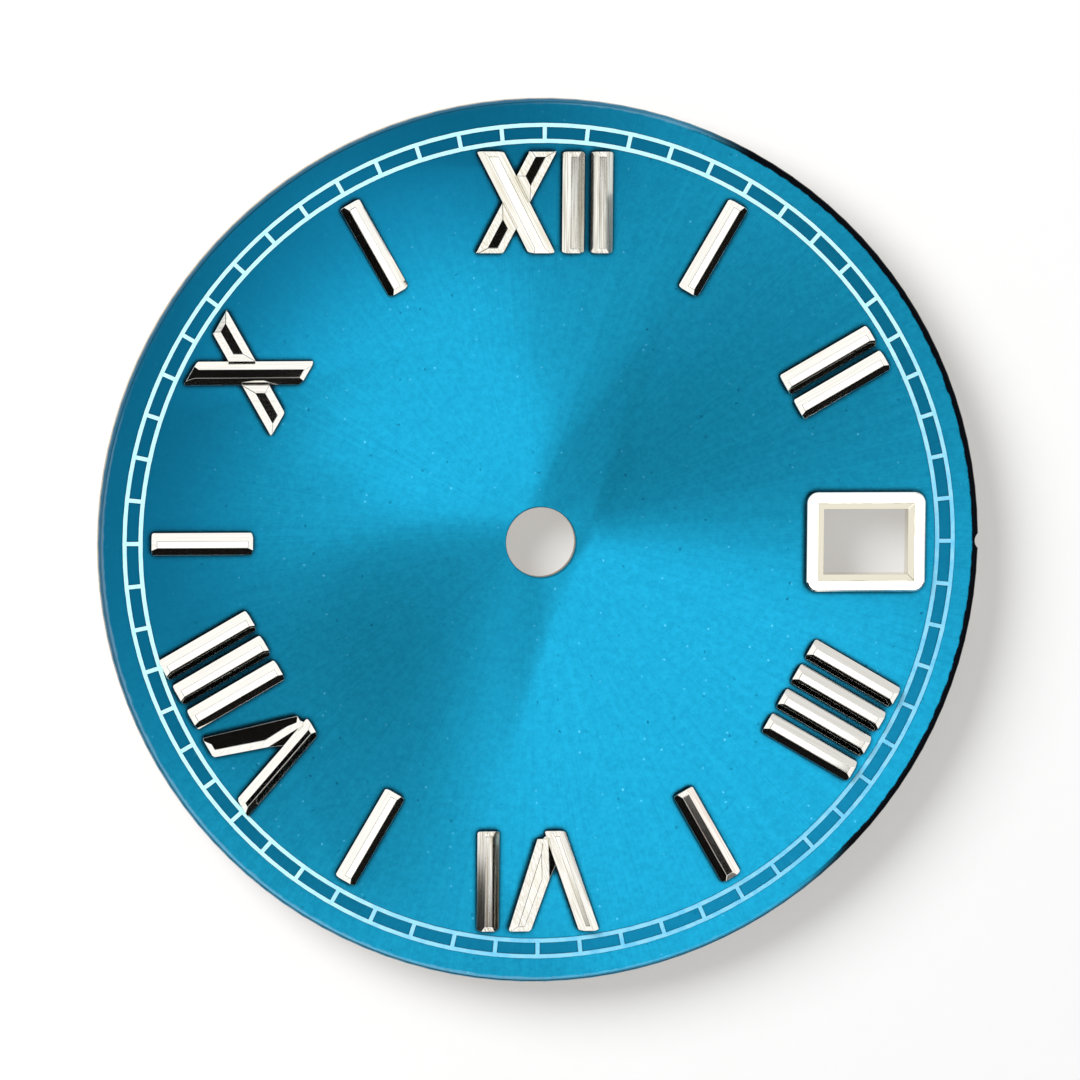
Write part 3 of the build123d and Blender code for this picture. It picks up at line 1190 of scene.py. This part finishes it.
class WatchDial:
    """The whole dial, dressed node by node."""

    tilts: dict[str, dict[str, TopTilt]] = {
        "numeral_10_x": {"whole": TopTilt(1.2), "upper": TopTilt(1.4), "lower": TopTilt(1.4)},
        "numeral_12_x": {"whole": TopTilt(-1.4), "upper": TopTilt(2.2), "lower": TopTilt(2.2)},
        "numeral_8_v": {"leg": TopTilt(3.4, 306.0), "blade": TopTilt(3.4, 348.0)},
        "numeral_6_bar_1": {"bar": TopTilt(-0.8)},
        "numeral_12_bar_1": {"bar": TopTilt(0.15)},
        "numeral_12_bar_2": {"bar": TopTilt(0.25)},
        "baton_11": {"bar": TopTilt(-1.4)},
        "baton_9": {"bar": TopTilt(-0.7)},
        "baton_5": {"bar": TopTilt(-0.6)},
        **{f"numeral_4_bar_{bar}": {"bar": TopTilt(0.8)} for bar in (1, 2, 3, 4)},
    }
    lifts: dict[str, tuple[WallLift, ...]] = {
        "numeral_12_x": (WallLift(127, 0.04), WallLift(307, 0.03)),
        "numeral_6_v": (WallLift(246, 0.055), WallLift(108, 0.04)),
        "numeral_8_v": (WallLift(168, 0.08), WallLift(348, 0.06, 0.22), WallLift(348, 0.16)),
    }
    usual_lift: float = 0.03
    special_lifts: dict[str, float] = {"numeral_8_bar_1": 0.055}
    lifted_clocks: tuple[float, float] = (95.0, 185.0)
    crowded_hours: tuple[int, ...] = (2, 4, 8)
    crowded_lift: float = 0.05
    open_clocks: tuple[float, float] = (95.0, 265.0)
    stroke_leans: dict[str, float] = {"_x": 29.0, "_v": 23.6}
    finishes: dict[str, SteelFinish] = {
        "numeral_12_bar": SteelFinish((0.93, 0.92, 0.86), (0.62, 0.58, 0.49), 0.14, 0.12),
        "numeral_12_x": SteelFinish(shade=(0.80, 0.76, 0.62)),
        "numeral_6_bar": SteelFinish(roughness=0.1, waviness=0.2, shade=(0.60, 0.54, 0.43)),
        "numeral_6_v": SteelFinish(roughness=0.1, waviness=0.08, shade=(0.80, 0.76, 0.65)),
        "baton_5": SteelFinish(roughness=0.08, waviness=0.14, shade=(0.84, 0.74, 0.66)),
        "numeral_10": SteelFinish(roughness=0.08, waviness=0.12),
    }

    def __init__(self, nodes: dict[str, bpy.types.Object]) -> None:
        """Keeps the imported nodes.

        Args:
            nodes: CAD objects by name.
        """
        self.nodes = nodes
        self.lacquered: list[bpy.types.Object] = []
        self.polished: list[bpy.types.Object] = []

    def steel_for(self, node: str, hour: int) -> bpy.types.Material:
        """Steel whose polishing lines run along one hour's radius.

        Args:
            node: The piece.
            hour: The hour.

        Returns:
            The material.
        """
        group = next((key for key in self.finishes if node.startswith(key)), f"hour_{hour}")
        if group not in self.finishes and node.endswith(("_x", "_v")):
            group = node
        name = f"Steel_{group}"
        if name in bpy.data.materials:
            return bpy.data.materials[name]
        lean = next((angle for end, angle in self.stroke_leans.items() if node.endswith(end)), 0.0)
        finish = self.finishes.get(group, SteelFinish())
        return PolishedSteel(name, HOUR_ANGLE * hour - lean, finish).material()

    def lifts_for(self, node: str, hour: int) -> tuple[WallLift, ...]:
        """Raised walls of one mark.

        Args:
            node: The piece.
            hour: The hour.

        Returns:
            The lifts.
        """
        if node.endswith(("_x", "_v")):
            return self.lifts.get(node, ())
        sides = [(HOUR_ANGLE * hour + quarter) % 360 for quarter in (90, 270)]
        low, high = self.lifted_clocks
        lift = self.special_lifts.get(node, self.usual_lift)
        found = [WallLift(side, lift) for side in sides if low < side < high]
        if hour in self.crowded_hours:
            low, high = self.open_clocks
            found += [WallLift(side, self.crowded_lift) for side in sides if not low < side < high]
        return tuple(found)

    def build_plate(self) -> None:
        """Dresses the plate."""
        plate = DialPlate("dial_plate", self.nodes["dial_plate"], Slot.LACQUER, edge_softness=0.0)
        self.lacquered.append(plate.build(SunburstLacquer().material()))

    def build_marks(self) -> None:
        """Dresses every baton and numeral stroke."""
        for name, source in sorted(self.nodes.items()):
            if not name.startswith(("baton_", "numeral_")):
                continue
            hour = int(name.split("_")[1])
            tilts, lifts = self.tilts.get(name, {}), self.lifts_for(name, hour)
            mark = AppliedMark(name, source, Slot.STEEL, hour=hour, tilts=tilts, lifts=lifts)
            self.polished.append(mark.build(self.steel_for(name, hour)))

    def build_frame(self) -> None:
        """Dresses the date window's frame."""
        frame = WindowFrame("date_window_frame", self.nodes["date_window_frame"], Slot.STEEL)
        self.lacquered.append(frame.build(FrameSteel().material()))

    def dress_in_place(self) -> None:
        """Gives the print and the feet their finishes on the CAD solids themselves."""
        finishes = {
            "minute_track_print": TrackInk().material(),
            "dial_foot_upper": FootCopper().material(),
        }
        finishes["dial_foot_lower"] = finishes["dial_foot_upper"]
        for name, material in finishes.items():
            source = self.nodes[name]
            source.data.materials.clear()
            source.data.materials.append(material)
            self.lacquered.append(source)
            LOG.info("%s: dressed in place", name)

    def build(self) -> None:
        """Dresses the whole dial."""
        self.build_plate()
        self.build_marks()
        self.build_frame()
        self.dress_in_place()


def main() -> None:
    """Builds the camera, the studio and the dial in order."""
    logging.basicConfig(level=logging.INFO, format="%(name)s: %(message)s")
    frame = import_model()
    bpy.context.scene.view_settings.view_transform = "Standard"
    PhotoCamera().build()
    dial = WatchDial(frame["nodes"])
    dial.build()
    Studio(lacquered_pieces=dial.lacquered, polished_pieces=dial.polished).build()


if __name__ == "__main__":
    main()
